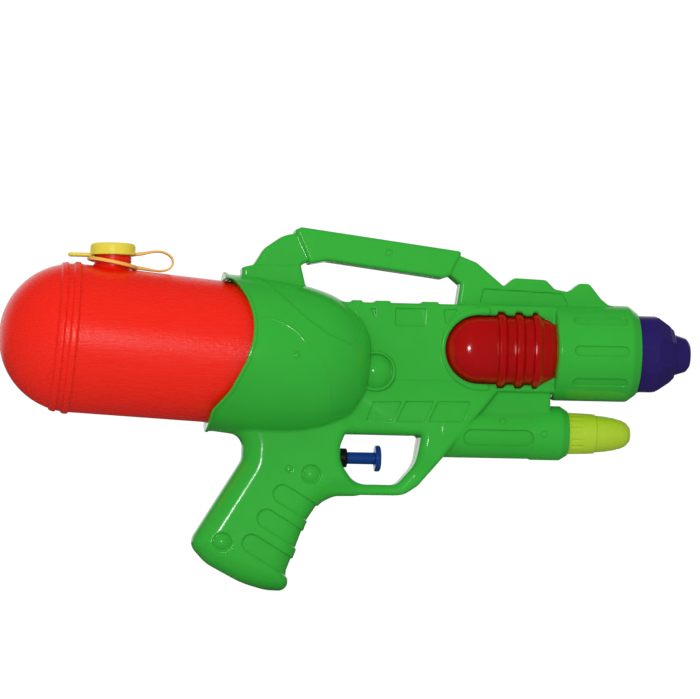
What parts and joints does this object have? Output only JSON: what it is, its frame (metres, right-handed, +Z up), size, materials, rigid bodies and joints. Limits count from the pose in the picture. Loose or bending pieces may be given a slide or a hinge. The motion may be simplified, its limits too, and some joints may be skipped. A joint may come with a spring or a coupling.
{
  "type": "water squirter",
  "caption": "Toy water squirter: tank under a cowl, pistol grip with a sprung plunger trigger, carry handle, ribbed chamber, faceted nozzle and tethered filler cap.",
  "frame": {"origin": "the point of the grip that the hand closes round, in the parting plane of the shells", "axes": "+X out of the nozzle, +Z up, Y across the parting plane"},
  "size_m": [0.4443, 0.1, 0.2322],
  "materials": {
    "green_shell": "moulded, glossy",
    "red_tank": "blow moulded, satin",
    "yellow_cap": "moulded, satin",
    "yellow_tether": "moulded, flexible",
    "blue_plunger": "moulded",
    "black_gland": "moulded",
    "purple_nozzle": "moulded, glossy",
    "dark_red_chamber": "moulded, glossy",
    "lime_tip": "moulded, satin",
    "white_pump": "moulded, plain",
    "clear_hose": "extruded",
    "seal_rubber": "moulded",
    "steel": "plated"
  },
  "bodies": {
    "gun": {"right_shell": "green_shell", "left_shell": "green_shell", "shell_screws": "steel", "tank": "red_tank", "cap_tether": "yellow_tether", "suction_hose": "clear_hose", "inlet_valve_body": "white_pump", "pump_cylinder": "white_pump", "pump_gland": "black_gland", "return_spring": "steel", "outlet_valve_body": "white_pump", "delivery_hose": "clear_hose", "nozzle": "purple_nozzle", "chamber": "dark_red_chamber"},
    "trigger": {"plunger": "blue_plunger", "piston_seal": "seal_rubber"},
    "cap": {"filler_cap": "yellow_cap", "cap_gasket": "seal_rubber"},
    "inlet_ball": {"inlet_ball": "white_pump"},
    "outlet_ball": {"outlet_ball": "white_pump"},
    "tip": {"fluted_tip": "lime_tip"}
  },
  "joints": [
    {"name": "trigger_pull", "type": "slide", "parent": "gun", "child": "trigger", "axis": [-1, 0, 0], "range_m": [0, 0.013], "stiffness_N_per_m": 350, "springref_m": -0.006, "deforming": ["return_spring"]},
    {"name": "cap_flip", "type": "hinge", "parent": "gun", "child": "cap", "pos_m": [-0.083, 0, 0.1583], "axis": [0, 1, 0], "range_deg": [0, 85], "deforming": ["cap_tether"]},
    {"name": "inlet_lift", "type": "slide", "parent": "gun", "child": "inlet_ball", "axis": [1, 0, 0], "range_m": [0, 0.0012]},
    {"name": "outlet_lift", "type": "slide", "parent": "gun", "child": "outlet_ball", "axis": [1, 0, 0], "range_m": [0, 0.0015]},
    {"name": "tip_turn", "type": "hinge", "parent": "gun", "child": "tip", "pos_m": [0.19, 0, 0.05], "axis": [1, 0, 0], "continuous": true}
  ]
}
